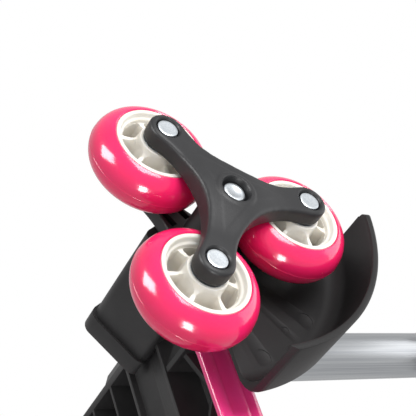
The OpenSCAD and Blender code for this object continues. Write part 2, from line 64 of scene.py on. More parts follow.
# Places and sizes that the frame gives
AXLE = middle("left_cluster_axle")
AXLE.y = 0
WHEEL_Y = middle("left_top_tyre").y
WHEEL_R = size("rear_tyre").x / 2
TYRE_HALF = size("rear_tyre").y / 2
HUB_R = size("rear_hub").x / 2
REAR = middle("rear_tyre")
ARM_R = middle("left_top_tyre").z - AXLE.z
HUB_SPOKES = 6


# ---------------------------------------------------------------- modelling

def deselect():
    bpy.ops.object.select_all(action="DESELECT")


def pick(piece):
    """Only this piece is selected, and it is the active one."""
    deselect()
    piece.select_set(True)
    bpy.context.view_layer.objects.active = piece


def edit():
    bpy.ops.object.mode_set(mode="EDIT")
    bpy.ops.mesh.select_all(action="SELECT")


def leave():
    bpy.ops.object.mode_set(mode="OBJECT")


def seat(piece):
    """The piece's place goes into its mesh."""
    pick(piece)
    bpy.ops.object.transform_apply(location=True, rotation=True, scale=True)
    return piece


def outward(piece):
    pick(piece)
    edit()
    bpy.ops.mesh.remove_doubles(threshold=1e-6)
    bpy.ops.mesh.normals_make_consistent(inside=False)
    leave()
    return piece


def pull(points, closed=True):
    """Pulls one corner along an outline, in edit mode, and leaves the outline selected."""
    here = Vector(points[0])
    for point in points[1:]:
        bpy.ops.mesh.extrude_region_move(TRANSFORM_OT_translate={"value": Vector(point) - here})
        here = Vector(point)
    if closed:
        bpy.ops.mesh.extrude_region_move(TRANSFORM_OT_translate={"value": Vector(points[0]) - here})


def corner(name, place):
    """A new piece of one corner, left in edit mode."""
    deselect()
    bpy.ops.mesh.primitive_plane_add(size=0.001, location=place)
    piece = bpy.context.object
    piece.name = name
    bpy.ops.object.mode_set(mode="EDIT")
    bpy.ops.mesh.select_all(action="SELECT")
    bpy.ops.mesh.merge(type="CENTER")
    return piece


def sheet_of(name, points):
    """A flat face inside an outline."""
    piece = corner(name, points[0])
    pull(points)
    bpy.ops.mesh.select_all(action="SELECT")
    bpy.ops.mesh.remove_doubles(threshold=1e-7)
    bpy.ops.mesh.edge_face_add()
    leave()
    return seat(piece)


def prism(name, points, along):
    """An outline drawn out into a solid."""
    piece = sheet_of(name, points)
    edit()
    bpy.ops.mesh.extrude_region_move(TRANSFORM_OT_translate={"value": along})
    leave()
    return outward(piece)


def turned(name, profile, center, axis="Y", steps=96, angle=360, start=0, closed=True):
    """A profile of (radius, height) pairs turned about a line through center."""
    center = Vector(center)
    if axis == "Y":
        side = Vector((math.cos(math.radians(start)), 0, math.sin(math.radians(start))))
        up = Vector((0, 1, 0))
    elif axis == "Z":
        side, up = Vector((1, 0, 0)), Vector((0, 0, 1))
    else:
        side, up = Vector((0, 0, 1)), Vector((1, 0, 0))
    points = [center + side * r + up * h for r, h in profile]
    piece = corner(name, points[0])
    pull(points, closed)
    bpy.ops.mesh.select_all(action="SELECT")
    bpy.ops.mesh.remove_doubles(threshold=1e-7)
    if angle < 360:
        bpy.ops.mesh.edge_face_add()
        bpy.ops.mesh.select_all(action="SELECT")
    sweep = math.radians(angle)
    bpy.ops.mesh.spin(steps=steps, angle=sweep, center=center, axis=up, use_auto_merge=angle == 360)
    bpy.ops.mesh.select_all(action="SELECT")
    bpy.ops.mesh.remove_doubles(threshold=1e-6)
    leave()
    return outward(seat(piece))


def skin(name, loops, caps=True):
    """A skin stretched over a row of closed outlines with equal numbers of points."""
    parts = []
    for points in loops:
        part = corner(name, points[0])
        pull(points)
        bpy.ops.mesh.select_all(action="SELECT")
        bpy.ops.mesh.remove_doubles(threshold=1e-7)
        leave()
        parts.append(seat(part))
    deselect()
    for part in parts:
        part.select_set(True)
    bpy.context.view_layer.objects.active = parts[0]
    bpy.ops.object.join()
    piece = parts[0]
    count = len(loops[0])
    edit()
    bpy.ops.mesh.bridge_edge_loops()
    leave()
    if caps:
        for first in (0, (len(loops) - 1) * count):
            pick(piece)
            bpy.ops.object.mode_set(mode="EDIT")
            bpy.ops.mesh.select_all(action="DESELECT")
            leave()
            wanted = [Vector(p) for p in (loops[0] if first == 0 else loops[-1])]
            for v in piece.data.vertices:
                v.select = any((v.co - w).length < 1e-6 for w in wanted)
            bpy.ops.object.mode_set(mode="EDIT")
            bpy.ops.mesh.edge_face_add()
            leave()
    piece.name = name
    return outward(piece)


def block(name, low, high):
    low, high = Vector(low), Vector(high)
    deselect()
    bpy.ops.mesh.primitive_cube_add(size=1, location=(low + high) / 2)
    piece = bpy.context.object
    piece.name = name
    piece.scale = high - low
    return seat(piece)


def rod(name, center, radius, length, axis="Y", sides=48):
    turn = {"Y": (math.pi / 2, 0, 0), "Z": (0, 0, 0), "X": (0, math.pi / 2, 0)}[axis]
    deselect()
    bpy.ops.mesh.primitive_cylinder_add(vertices=sides, radius=radius, depth=length, location=center,
                                        rotation=turn)
    piece = bpy.context.object
    piece.name = name
    return seat(piece)


def modify(piece, kind, **settings):
    pick(piece)
    change = piece.modifiers.new(kind.title(), kind)
    for key, value in settings.items():
        setattr(change, key, value)
    bpy.ops.object.modifier_apply(modifier=change.name)
    return piece


def cut(piece, tool, operation="DIFFERENCE"):
    modify(piece, "BOOLEAN", operation=operation, object=tool, solver="EXACT")
    bpy.data.objects.remove(tool)
    return piece


def keep_inside(piece, mask):
    return cut(piece, mask, "INTERSECT")


def fuse(piece, *others):
    for other in others:
        cut(piece, other, "UNION")
    return piece


def soften(piece, width, segments=3, angle=30):
    return modify(piece, "BEVEL", width=width, segments=segments, limit_method="ANGLE",
                  angle_limit=math.radians(angle), harden_normals=False)


def melt(piece, voxel, rounds):
    """Closes a rough shape into one moulded skin and rounds its edges."""
    modify(piece, "REMESH", mode="VOXEL", voxel_size=voxel, use_smooth_shade=True)
    return modify(piece, "SMOOTH", factor=0.5, iterations=rounds)


def together(name, pieces):
    deselect()
    for piece in pieces:
        piece.select_set(True)
    bpy.context.view_layer.objects.active = pieces[0]
    bpy.ops.object.join()
    pieces[0].name = name
    return pieces[0]


def copied(piece, name, matrix):
    """A copy with its own mesh, carried through a matrix."""
    pick(piece)
    bpy.ops.object.duplicate()
    twin = bpy.context.object
    twin.name = name
    twin.data.transform(matrix)
    if matrix.determinant() < 0:
        pick(twin)
        edit()
        bpy.ops.mesh.flip_normals()
        leave()
    return twin


MIRROR = Matrix.Scale(-1, 4, (0, 1, 0))


def move(x=0, y=0, z=0):
    return Matrix.Translation((x, y, z))


def turn_about(point, degrees, axis="Y"):
    point = Vector(point)
    turn = Matrix.Rotation(math.radians(degrees), 4, axis)
    return Matrix.Translation(point) @ turn @ Matrix.Translation(-point)


def arc(center, radius, first, last, steps):
    """Points (x, z) along an arc, angles in degrees from +X towards +Z."""
    return [(center[0] + radius * math.cos(math.radians(first + (last - first) * i / steps)),
             center[1] + radius * math.sin(math.radians(first + (last - first) * i / steps)))
            for i in range(steps + 1)]


def upright(points, y):
    """Points (x, z) stood up at one y."""
    return [(x, y, z) for x, z in points]


def mm(*points):
    """Pairs given in millimetres."""
    return [(a * MM, b * MM) for a, b in points]


def round_axle(radius, degrees):
    """A point beside the cluster's axle, level with the centre plane."""
    angle = math.radians(degrees)
    return AXLE.x + radius * math.cos(angle), 0, AXLE.z + radius * math.sin(angle)


# ---------------------------------------------------------------- materials

class Wire:
    """A shader socket that works in Python sums."""

    def __init__(self, tree, socket):
        self.tree, self.socket = tree, socket

    def _sum(self, operation, *values):
        return self.tree.add("ShaderNodeMath", {"operation": operation}, dict(enumerate(values)))

    def __add__(self, other):
        return self._sum("ADD", self, other)

    def __radd__(self, other):
        return self._sum("ADD", other, self)

    def __sub__(self, other):
        return self._sum("SUBTRACT", self, other)

    def __rsub__(self, other):
        return self._sum("SUBTRACT", other, self)

    def __mul__(self, other):
        return self._sum("MULTIPLY", self, other)

    def __rmul__(self, other):
        return self._sum("MULTIPLY", other, self)

    def __truediv__(self, other):
        return self._sum("DIVIDE", self, other)

    def __rtruediv__(self, other):
        return self._sum("DIVIDE", other, self)

    def __pow__(self, other):
        return self._sum("POWER", self, other)

    def above(self, edge, width):
        """0 below an edge and 1 above it, with a soft step."""
        return self.tree.add("ShaderNodeMapRange", {"interpolation_type": "SMOOTHSTEP"},
                             {"Value": self, "From Min": edge - width, "From Max": edge + width})


class Finish:
    """A material on object coordinates, built node by node."""

    def __init__(self, name, color, roughness, **fixed):
        self.material = bpy.data.materials.new(name)
        self.material.use_nodes = True
        self.nodes = self.material.node_tree.nodes
        self.links = self.material.node_tree.links
        self.shader = self.nodes["Principled BSDF"]
        self.shader.inputs["Base Color"].default_value = (*color, 1)
        self.shader.inputs["Roughness"].default_value = roughness
        for key, value in fixed.items():
            self.shader.inputs[key.replace("_", " ")].default_value = value
        self.color = color
        self.place = self.add("ShaderNodeTexCoord", {}, {}, "Object")

    def add(self, kind, settings, values, out=0):
        node = self.nodes.new(kind)
        for key, value in settings.items():
            setattr(node, key, value)
        for key, value in values.items():
            socket = node.inputs[key]
            if isinstance(value, Wire):
                self.links.new(value.socket, socket)
            else:
                socket.default_value = value
        return Wire(self, node.outputs[out])

    def stretched(self, x, y, z):
        return self.add("ShaderNodeMapping", {"vector_type": "TEXTURE"},
                        {"Vector": self.place, "Scale": (x, y, z)})

    def noise(self, size, detail=3, rough=0.5, where=None):
        """Noise with grains of about this size in metres, from 0 to 1."""
        return self.add("ShaderNodeTexNoise", {}, {"Vector": where or self.place, "Scale": 1 / size,
                                                   "Detail": detail, "Roughness": rough}, "Fac")

    def tint(self, mask, other):
        """The base colour turns to another where the mask is 1."""
        mix = self.add("ShaderNodeMix", {"data_type": "RGBA"},
                       {0: mask, 6: (*self.color, 1), 7: (*other, 1)}, 2)
        self.links.new(mix.socket, self.shader.inputs["Base Color"])
        return self

    def gloss(self, wire):
        self.links.new(wire.socket, self.shader.inputs["Roughness"])
        return self

    def relief(self, height, depth):
        bump = self.add("ShaderNodeBump", {}, {"Height": height, "Distance": depth, "Strength": 1.0})
        self.links.new(bump.socket, self.shader.inputs["Normal"])
        return self


def urethane(name, color, deep):
    f = Finish(name, color, 0.16, Subsurface_Weight=0.12, Subsurface_Radius=(0.004, 0.0012, 0.0016),
               Subsurface_Scale=1.0, Coat_Weight=0.35, Coat_Roughness=0.06, IOR=1.5)
    cloud = f.noise(0.02, 3)
    scuff = f.noise(0.004, 5, 0.7).above(0.68, 0.05)
    f.tint(cloud.above(0.5, 0.35), deep).gloss(0.14 + 0.06 * cloud + 0.16 * scuff)
    return f.relief(f.noise(0.0016, 2), 0.00003)


def moulded(name, color, dusty, grain, depth, roughness):
    """Black plastic with a fine spark grain."""
    f = Finish(name, color, roughness, IOR=1.5, Specular_IOR_Level=0.36)
    fine = f.noise(grain, 2, 0.6)
    cloud = f.noise(0.03, 4, 0.6)
    return f.tint(cloud.above(0.55, 0.2), dusty).gloss(roughness - 0.08 + 0.16 * fine).relief(fine, depth)


def nylon(name, color, warm):
    f = Finish(name, color, 0.34, Subsurface_Weight=0.2, Subsurface_Radius=(0.003, 0.0026, 0.002),
               Subsurface_Scale=1.0)
    cloud = f.noise(0.012, 3)
    return f.tint(cloud.above(0.5, 0.3), warm).gloss(0.28 + 0.12 * cloud).relief(f.noise(0.0012, 2), 0.00003)


def plated(name, color, dull):
    f = Finish(name, color, 0.3, Metallic=1.0)
    frost = f.noise(0.0014, 4, 0.7)
    return f.tint(frost.above(0.5, 0.12), dull).gloss(0.26 + 0.24 * frost).relief(frost, 0.00004)


def brushed(name, color, dull):
    """Aluminium tube with streaks along its length."""
    f = Finish(name, color, 0.3, Metallic=1.0)
    streaks = f.noise(0.0009, 3, 0.6, f.stretched(1, 1, 160))
    return f.tint(streaks.above(0.5, 0.25), dull).gloss(0.2 + 0.22 * streaks).relief(streaks, 0.00003)


def rubber(name, color, worn):
    f = Finish(name, color, 0.62, Sheen_Weight=0.15, Sheen_Roughness=0.5)
    fine = f.noise(0.0009, 3, 0.6)
    return f.tint(f.noise(0.015, 4).above(0.58, 0.12), worn).gloss(0.52 + 0.2 * fine).relief(fine, 0.00008)


LOOK = {
    "tyre_pink": urethane("hot_pink_urethane", (1.0, 0.022, 0.16), (0.95, 0.012, 0.115)),
    "hub_white": nylon("off_white_nylon", (0.86, 0.83, 0.78), (0.8, 0.76, 0.68)),
    "steel_zinc": plated("bright_zinc", (0.78, 0.82, 0.85), (0.62, 0.66, 0.7)),
    "bush_nylon": nylon("natural_nylon", (0.8, 0.74, 0.6), (0.74, 0.66, 0.5)),
    "spider_black": moulded("spider_nylon", (0.018, 0.018, 0.0195), (0.026, 0.026, 0.0275),
                            0.0006, 0.00006, 0.46),
    "frame_black": moulded("frame_plastic", (0.02, 0.019, 0.02), (0.03, 0.029, 0.03), 0.0009, 0.00004, 0.44),
    "guard_black": moulded("guard_plastic", (0.007, 0.0062, 0.0066), (0.011, 0.01, 0.0105),
                           0.0005, 0.00005, 0.5),
    "deck_pink": urethane("glossy_pink_shell", (1.0, 0.06, 0.3), (0.99, 0.045, 0.25)),
    "mat_black": rubber("mat_rubber", (0.035, 0.035, 0.037), (0.06, 0.058, 0.056)),
    "tube_aluminium": brushed("brushed_aluminium", (0.6, 0.615, 0.63), (0.4, 0.415, 0.44)),
    "grip_pink": rubber("grip_rubber", (0.9, 0.06, 0.17), (0.8, 0.05, 0.14)),
    "bush_pink": urethane("bush_urethane", (0.95, 0.08, 0.2), (0.85, 0.05, 0.14)),
}


def dressed(piece, look, body, *nodes, smooth=35):
    """Finishes a piece: its material, its shading, the body it rides on, and hides the CAD parts it stands
    for.
    """
    piece.data.materials.clear()
    piece.data.materials.append(LOOK[look].material)
    pick(piece)
    bpy.ops.object.shade_smooth_by_angle(angle=math.radians(smooth))
    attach(piece, body)
    if nodes:
        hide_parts(*nodes)
    return piece


# ---------------------------------------------------------------- camera, light and floor

def add_camera():
    place = Vector((AXLE.x - 261.5 * MM, WHEEL_Y + 297.1 * MM, -198.8 * MM))
    right = Vector((-0.2981, 0.4453, 0.8443))
    up = Vector((0.7649, 0.6405, -0.0678))
    ahead = Vector((0.5710, -0.6256, 0.5316))
    data = bpy.data.cameras.new("camera")
    data.lens = 86.73
    data.sensor_width = 36
    data.clip_start = 0.01
    camera = bpy.data.objects.new("camera", data)
    bpy.context.scene.collection.objects.link(camera)
    turn = Matrix((right, up, -ahead)).transposed().to_4x4()
    camera.matrix_world = Matrix.Translation(place) @ turn
    bpy.context.scene.camera = camera
    return right, up, ahead


RIGHT, UP, AHEAD = add_camera()


def panel_light(name, place, target, width, height, power, color=(1, 1, 1)):
    data = bpy.data.lights.new(name, "AREA")
    data.shape, data.size, data.size_y = "RECTANGLE", width, height
    data.energy, data.color = power, color
    lamp = bpy.data.objects.new(name, data)
    bpy.context.scene.collection.objects.link(lamp)
    lamp.location = place
    lamp.rotation_euler = (Vector(target) - Vector(place)).to_track_quat("-Z", "Y").to_euler()
    return lamp


def add_light():
    target = AXLE + Vector((0, WHEEL_Y, 0))
    spots = (
        # name, to the right, above and ahead of the wheels as the camera sees them, width, height, power
        ("window_left", -0.62, 0.42, -0.42, 0.52, 0.36, 9.0, False),
        ("window_low", 0.05, -0.42, -0.7, 0.34, 0.2, 5.0, False),
        ("key", 0.45, 0.75, -0.55, 0.6, 0.5, 11.0, True),
    )
    for name, across, above, ahead, width, height, power, soft in spots:
        place = target + RIGHT * across + UP * above + AHEAD * ahead
        lamp = panel_light(name, place, target, width, height, power)
        lamp.visible_diffuse = soft
    panel_light("room", (0.3, 0.6, 2.2), (0, 0, 0.2), 1.8, 1.8, 16.0)
    world = bpy.data.worlds.new("studio")
    bpy.context.scene.world = world
    world.use_nodes = True
    nodes, links = world.node_tree.nodes, world.node_tree.links
    nodes["Background"].inputs["Color"].default_value = (1, 1, 1, 1)
    nodes["Background"].inputs["Strength"].default_value = 0.62
    backdrop = nodes.new("ShaderNodeBackground")
    backdrop.inputs["Color"].default_value = (1, 1, 1, 1)
    backdrop.inputs["Strength"].default_value = 1.0
    seen = nodes.new("ShaderNodeLightPath")
    choose = nodes.new("ShaderNodeMixShader")
    links.new(seen.outputs["Is Camera Ray"], choose.inputs[0])
    links.new(nodes["Background"].outputs[0], choose.inputs[1])
    links.new(backdrop.outputs[0], choose.inputs[2])
    links.new(choose.outputs[0], nodes["World Output"].inputs["Surface"])
    bpy.context.scene.view_settings.view_transform = "Standard"


def add_floor():
    """A pale floor that is seen from above only, so a view from underneath looks through it."""
    deselect()
    bpy.ops.mesh.primitive_plane_add(size=8, location=(0, 0, -0.0005))
    floor = bpy.context.object
    floor.name = "floor"
    material = bpy.data.materials.new("pale_floor")
    material.use_nodes = True
    nodes, links = material.node_tree.nodes, material.node_tree.links
    nodes["Principled BSDF"].inputs["Base Color"].default_value = (0.86, 0.86, 0.86, 1)
    nodes["Principled BSDF"].inputs["Roughness"].default_value = 0.8
    clear = nodes.new("ShaderNodeBsdfTransparent")
    side = nodes.new("ShaderNodeNewGeometry")
    choose = nodes.new("ShaderNodeMixShader")
    links.new(side.outputs["Backfacing"], choose.inputs[0])
    links.new(nodes["Principled BSDF"].outputs[0], choose.inputs[1])
    links.new(clear.outputs[0], choose.inputs[2])
    links.new(choose.outputs[0], nodes["Material Output"].inputs["Surface"])
    floor.data.materials.append(material)
    floor.visible_diffuse = floor.visible_glossy = floor.visible_transmission = False
    floor.visible_shadow = False


add_light()
add_floor()

# ---------------------------------------------------------------- wheels

def tyre_profile():
    """Half-round crown with a fine parting ridge at its middle."""
    crown_r = ((WHEEL_R - HUB_R) ** 2 + TYRE_HALF ** 2) / (2 * (WHEEL_R - HUB_R))
    center = WHEEL_R - crown_r - 0.1 * MM
    edge = math.degrees(math.asin((TYRE_HALF - 0.3 * MM) / crown_r))
    rise = [(center + crown_r * math.cos(math.radians(a)), crown_r * math.sin(math.radians(a)))
            for a in [1.2 + (edge - 1.2) * i / 16 for i in range(17)]]
    ridge = [(WHEEL_R - 0.06 * MM, 0.22 * MM), (WHEEL_R, 0.1 * MM)]
    side = [(HUB_R + 0.2 * MM, TYRE_HALF - 0.6 * MM), (HUB_R + 0.1 * MM, TYRE_HALF - 1.6 * MM),
            (HUB_R - 1.4 * MM, TYRE_HALF - 1.7 * MM)]
    half = list(reversed(ridge)) + rise + side
    return [(r, h) for r, h in half] + [(r, -h) for r, h in reversed(half)]


def hub_half_profile():
    """From the bearing seat over the boss and down the spokes, then up the rim to its lip."""
    r, w = HUB_R, TYRE_HALF
    bowl = mm((8.5, 6.5), (8.5, 12.4), (9.0, 12.5), (9.6, 12.5), (10.1, 12.1), (10.5, 9.8), (11.2, 8.5),
              (12.6, 7.5), (15.6, 6.6), (17.0, 6.6), (17.4, 7.0), (17.6, 8.5), (17.9, 8.9), (18.5, 9.1),
              (18.9, 9.5), (19.3, 11.0))
    lip = [(r - 2.0 * MM, w - 0.5 * MM), (r - 1.6 * MM, w - 0.3 * MM), (r - 0.6 * MM, w - 0.3 * MM),
           (r - 0.1 * MM, w - 0.55 * MM), (r, w - 1.0 * MM), (r, w - 1.6 * MM), (r - 1.4 * MM, w - 1.7 * MM)]
    return bowl + lip


def window_outline(inner, outer, spoke, steps=4):
    """A window between two spokes, as (angle, radius): straight along the spokes, with round corners."""
    half = math.pi / HUB_SPOKES
    corner = 1.1 * MM

    def side(radius):
        return half - spoke / radius

    rim = [(side(outer - corner), outer - corner), (side(outer) * 0.95, outer - corner * 0.3)]
    rim += [(side(outer) * 0.8 * (1 - 2 * i / steps), outer) for i in range(steps + 1)]
    rim += [(-side(outer) * 0.95, outer - corner * 0.3), (-side(outer - corner), outer - corner)]
    boss = [(-side(inner + corner), inner + corner), (-side(inner) * 0.85, inner + corner * 0.25)]
    boss += [(-side(inner) * 0.4, inner), (side(inner) * 0.4, inner)]
    boss += [(side(inner) * 0.85, inner + corner * 0.25), (side(inner + corner), inner + corner)]
    return rim + boss


def window_cutter(number):
    """Flared at both faces, so that the spokes get round backs."""
    turn = (number + 0.5) * 2 * math.pi / HUB_SPOKES
    loops = []
    for height, flare in ((10.4, 1.5), (8.0, 1.05), (6.2, 0.5), (4.6, 0.1), (0, 0), (-4.6, 0.1), (-6.2, 0.5),
                          (-8.0, 1.05), (-10.4, 1.5)):
        flare *= MM
        edge = window_outline(10.9 * MM - flare * 0.35, 17.2 * MM + flare * 0.12, 1.75 * MM - flare)
        y = REAR.y + height * MM
        loops.append([(REAR.x + r * math.cos(a + turn), y, REAR.z + r * math.sin(a + turn)) for a, r in edge])
    return skin("window", loops)


def make_tyre():
    return turned("rear_tyre_skin", tyre_profile(), REAR, steps=128)


def make_hub():
    half = hub_half_profile()
    hub = turned("rear_hub_moulding", half + [(r, -h) for r, h in reversed(half)], REAR, steps=120)
    for number in range(HUB_SPOKES):
        cut(hub, window_cutter(number))
    return hub


def add_wheels():
    tyre, hub = make_tyre(), make_hub()
    spin = {"top": 12, "front": 8, "rear": 20}
    for side, sign in SIDES.items():
        for spot in SPOTS:
            name = f"{side}_{spot}"
            there = middle(f"{name}_hub")
            go = move(*(there - REAR)) @ turn_about(REAR, spin[spot] * sign)
            dressed(copied(tyre, f"{name}_tyre_skin", go), "tyre_pink", f"{name}_wheel", f"{name}_tyre")
            dressed(copied(hub, f"{name}_hub_moulding", go), "hub_white", f"{name}_wheel", f"{name}_hub")
    dressed(tyre, "tyre_pink", "rear_wheel", "rear_tyre")
    dressed(hub, "hub_white", "rear_wheel", "rear_hub")


add_wheels()

# ---------------------------------------------------------------- spiders

ARMS = (90, -30, 210)
TIP_R = 9.2 * MM
WAIST = 16.3 * MM
DOME = 3.4 * MM
DOME_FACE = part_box("left_outer_spider")[1].y
TIP_FACE = DOME_FACE - DOME
ARM_T = 9.2 * MM
BOLT_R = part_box("left_wheel_bolts")[1].z - AXLE.z - ARM_R
POCKET_R = 7.4 * MM
DOME_REACH = range(6, 34, 2)


def spider_outline(tip_r, waist):
    """Round tips joined by hollow arcs that touch them, as (x, z)."""
    gap = tip_r - waist
    reach = (ARM_R * ARM_R - gap * gap) / (ARM_R + 2 * gap)
    hollow_r = reach - waist
    points = []
    for arm in ARMS[0], ARMS[2], ARMS[1]:
        tip = Vector((math.cos(math.radians(arm)), math.sin(math.radians(arm)))) * ARM_R
        after = Vector((math.cos(math.radians(arm + 60)), math.sin(math.radians(arm + 60)))) * reach
        lean = math.degrees(math.atan2(*reversed(after - tip)))
        swing = (lean - arm) % 360
        points += arc(tip, tip_r, arm - swing, arm + swing, 16)
        back = math.degrees(math.atan2(*reversed(tip - after)))
        half = (arm + 60 + 180 - back) % 360
        half = half - 360 if half > 180 else half
        points += arc(after, hollow_r, back, back + 2 * half, 22)[1:-1]
    return [(AXLE.x + x, AXLE.z + z) for x, z in points]


def star(tip, notch):
    """Three narrow points along the arms, as (x, z)."""
    points = []
    for arm in ARMS[0], ARMS[2], ARMS[1]:
        for turn, radius in ((-34, notch), (0, tip), (34, notch)):
            angle = math.radians(arm + turn)
            points.append((AXLE.x + radius * math.cos(angle), AXLE.z + radius * math.sin(angle)))
    return points


def smooth(t):
    t = min(max(t, 0), 1)
    return t * t * (3 - 2 * t)


def domed(base, rise):
    """The dome's slope from the middle out to the arms, as (radius, height)."""
    return [(r * MM, base + rise * (1 - smooth((r - 6) / 25))) for r in DOME_REACH]


def make_outer_spider():
    low = TIP_FACE - ARM_T
    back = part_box("left_outer_spider")[0].y
    outline = upright(spider_outline(TIP_R, WAIST), low)
    arms = prism("left_outer_spider_moulding", outline, Vector((0, ARM_T + DOME, 0)))
    crown = [(0, low - MM), (0, DOME_FACE - 0.5 * MM)] + domed(TIP_FACE, DOME - 0.5 * MM)
    crown += [(60 * MM, TIP_FACE), (60 * MM, low - MM)]
    keep_inside(arms, turned("cap", crown, (AXLE.x, 0, AXLE.z), steps=72))
    melt(arms, 0.62 * MM, 34)
    ridge = prism("ridge", upright(star(27 * MM, 10.6 * MM), TIP_FACE - 2 * MM), Vector((0, 6 * MM, 0)))
    roof = [(0, low), (0, DOME_FACE - 0.35 * MM)] + domed(TIP_FACE + 0.1 * MM, DOME - 0.45 * MM)
    roof += [(40 * MM, low)]
    keep_inside(ridge, turned("roof", roof, (AXLE.x, 0, AXLE.z), steps=72))
    ring = [(POCKET_R, TIP_FACE), (POCKET_R, DOME_FACE - 0.25 * MM), (POCKET_R + 0.4 * MM, DOME_FACE),
            (POCKET_R + 2 * MM, DOME_FACE - 0.1 * MM), (POCKET_R + 3.4 * MM, DOME_FACE - 0.9 * MM),
            (POCKET_R + 3.4 * MM, TIP_FACE)]
    fuse(arms, ridge, turned("ring", ring, (AXLE.x, 0, AXLE.z), steps=72))
    modify(arms, "REMESH", mode="VOXEL", voxel_size=0.5 * MM, use_smooth_shade=True)
    modify(arms, "SMOOTH", factor=0.5, iterations=3)
    tube = rod("tube", (AXLE.x, (low + back) / 2 + MM, AXLE.z), 10.4 * MM, low - back + 2 * MM)
    fuse(arms, tube)
    well_r = BOLT_R + 0.7 * MM
    for angle in ARMS:
        well = [(0, TIP_FACE - 3.8 * MM), (well_r, TIP_FACE - 3.8 * MM), (well_r, TIP_FACE - 0.9 * MM),
                (BOLT_R + 1.3 * MM, TIP_FACE - 0.3 * MM), (BOLT_R + 2.2 * MM, TIP_FACE + MM),
                (0, TIP_FACE + MM)]
        cut(arms, turned("well", well, round_axle(ARM_R, angle), steps=48))
    deep_r = POCKET_R - 0.3 * MM
    deep = [(0, DOME_FACE - 10 * MM), (deep_r, DOME_FACE - 10 * MM), (deep_r, DOME_FACE - MM),
            (POCKET_R + 0.2 * MM, DOME_FACE - 0.3 * MM), (POCKET_R + MM, DOME_FACE + MM),
            (0, DOME_FACE + MM)]
    cut(arms, turned("deep", deep, (AXLE.x, 0, AXLE.z), steps=64))
    return arms


def make_inner_spider():
    low, high = (v.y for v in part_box("left_inner_spider"))
    outline = upright(spider_outline(8 * MM, 15 * MM), low)
    arms = prism("left_inner_spider_moulding", outline, Vector((0, high - low, 0)))
    soften(arms, 1.2 * MM, 3)
    for arm in ARMS:
        turn = math.radians(arm)
        along = Vector((math.cos(turn), 0, math.sin(turn)))
        across = Vector((-math.sin(turn), 0, math.cos(turn)))
        for side in (-1, 1):
            start = AXLE + along * 13 * MM + across * side * 3.2 * MM
            end = AXLE + along * 33 * MM + across * side * 2.9 * MM
            wide = across * side * 2.6 * MM
            pocket = [start, end, end + wide * 0.8, start + wide * 1.5]
            pocket = [(p.x, high - 3 * MM, p.z) for p in pocket]
            cut(arms, prism("pocket", pocket, Vector((0, 4 * MM, 0))))
    return arms


def both_sides(left, look, body, node, smooth_angle=35):
    """The left piece is mirrored to the right, and both are finished."""
    right = copied(left, left.name.replace("left", "right"), MIRROR)
    for piece, side in ((left, "left"), (right, "right")):
        dressed(piece, look, body.replace("SIDE", side), f"{side}_{node}", smooth=smooth_angle)


both_sides(make_outer_spider(), "spider_black", "SIDE_cluster", "outer_spider", 60)
both_sides(make_inner_spider(), "spider_black", "SIDE_cluster", "inner_spider")

def make_bolts():
    """Three flat round heads with a fine chamfer, on their shanks, with six-sided nuts with softened edges
    inside.
    """
    low, high = (v.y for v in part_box("left_wheel_bolts"))
    seat_y = high - 3.2 * MM
    head = [(0, seat_y), (BOLT_R, seat_y), (BOLT_R, high - 0.5 * MM), (BOLT_R - 0.15 * MM, high - 0.2 * MM),
            (BOLT_R - 0.6 * MM, high), (BOLT_R - 1.4 * MM, high - 0.06 * MM), (0, high - 0.06 * MM)]
    parts = []
    for angle in ARMS:
        x, y, z = round_axle(ARM_R, angle)
        parts.append(turned("head", head, (x, y, z), steps=56))
        parts.append(rod("shank", (x, (low + seat_y) / 2, z), 2.95 * MM, seat_y - low, sides=32))
        nut = rod("nut", (x, low + 1.9 * MM, z), 5.7 * MM, 3.4 * MM, sides=6)
        parts.append(soften(nut, 0.4 * MM, 2))
    return together("left_wheel_bolt_set", parts)


def make_nut():
    """A round axle nut with a shallow cone and a dimple."""
    low, high = (v.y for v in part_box("left_cluster_nut"))
    face = [(0, low), (6.9 * MM, low), (6.9 * MM, low + 1.1 * MM), (5.7 * MM, low + 1.2 * MM),
            (5.6 * MM, high - 0.9 * MM), (5.2 * MM, high - 0.3 * MM), (4.4 * MM, high),
            (3.4 * MM, high - 0.1 * MM), (2.2 * MM, high - 0.5 * MM), (0, high - 0.6 * MM)]
    return turned("left_axle_nut", face, (AXLE.x, 0, AXLE.z), steps=56)


both_sides(make_bolts(), "steel_zinc", "SIDE_cluster", "wheel_bolts")
both_sides(make_nut(), "steel_zinc", "frame", "cluster_nut")

# ---------------------------------------------------------------- guards

GUARD_LOW, GUARD_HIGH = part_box("left_guard")
GUARD_R = 96.8 * MM
GUARD_CENTER = Vector((AXLE.x + 17.6 * MM, 0, AXLE.z - 5.6 * MM))
GUARD_DEPTH = GUARD_HIGH.y - GUARD_LOW.y


def guard_section():
    """Flat wall, a wide round inside corner, then the arch with a round rim."""
    wall, bend = 2.4 * MM, 9 * MM
    inner = GUARD_R - wall
    outer_bend = 4 * MM
    section = [(0, 0)] + arc((GUARD_R - outer_bend, outer_bend), outer_bend, -90, 0, 5)
    rim = GUARD_DEPTH
    section += [(GUARD_R, rim - 0.8 * MM), (GUARD_R - 0.25 * MM, rim - 0.25 * MM), (GUARD_R - 0.9 * MM, rim),
                (inner - 0.1 * MM, rim), (inner - 0.7 * MM, rim - 0.3 * MM), (inner - 0.8 * MM, rim - MM),
                (inner - 0.6 * MM, rim - 2.4 * MM), (inner, rim - 4.5 * MM)]
    section += arc((inner - bend, wall + bend), bend, 0, -90, 9)
    return section + [(0, wall)]


